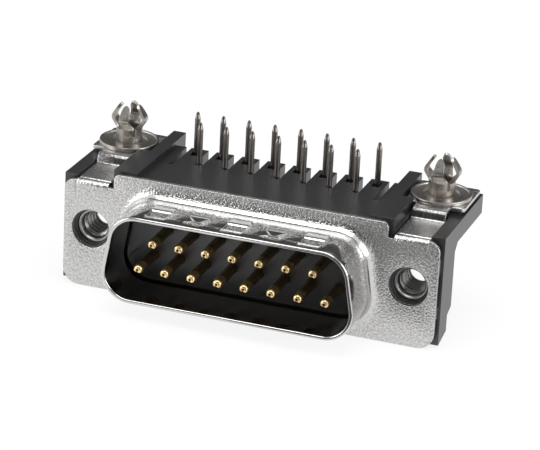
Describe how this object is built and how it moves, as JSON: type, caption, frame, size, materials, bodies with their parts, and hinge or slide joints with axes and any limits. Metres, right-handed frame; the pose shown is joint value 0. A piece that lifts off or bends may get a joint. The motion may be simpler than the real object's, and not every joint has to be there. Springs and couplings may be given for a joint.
{
  "type": "right-angle d-sub board connector",
  "caption": "Right-angle D-shaped male connector for a circuit board, with a drawn metal shell, flange, solder tails and sprung board locks.",
  "frame": {"origin": "centre of the D opening, on the flange's front face, midway between the two fixing holes", "axes": "+X to the right seen from the mating side, +Y away from the mating side, +Z towards the circuit board"},
  "size_m": [0.0398, 0.0198, 0.0166],
  "materials": {
    "tin_plated_shell": "satin tin plate with fine grain on the flange, brighter on the drawn wall",
    "tin_plated_plate": "satin tin plate",
    "black_insulator": "moulded glass-filled polyester",
    "black_moulding": "moulded glass-filled polyester, fine satin",
    "insert_metal": "plated, threaded bore",
    "board_lock_metal": "warm satin tin plate",
    "contact_metal": "gold on the mating pins, dull tin on the tails"
  },
  "bodies": {
    "root": {"front_shell": "tin_plated_shell", "rear_shell": "tin_plated_plate", "front_insulator": "black_insulator", "rear_body": "black_moulding", "left_insert": "insert_metal", "right_insert": "insert_metal", "left_board_lock": "board_lock_metal", "right_board_lock": "board_lock_metal", "pin_01": "contact_metal", "pin_02": "contact_metal", "pin_03": "contact_metal", "pin_04": "contact_metal", "pin_05": "contact_metal", "pin_06": "contact_metal", "pin_07": "contact_metal", "pin_08": "contact_metal", "pin_09": "contact_metal", "pin_10": "contact_metal", "pin_11": "contact_metal", "pin_12": "contact_metal", "pin_13": "contact_metal", "pin_14": "contact_metal", "pin_15": "contact_metal"}
  },
  "joints": []
}
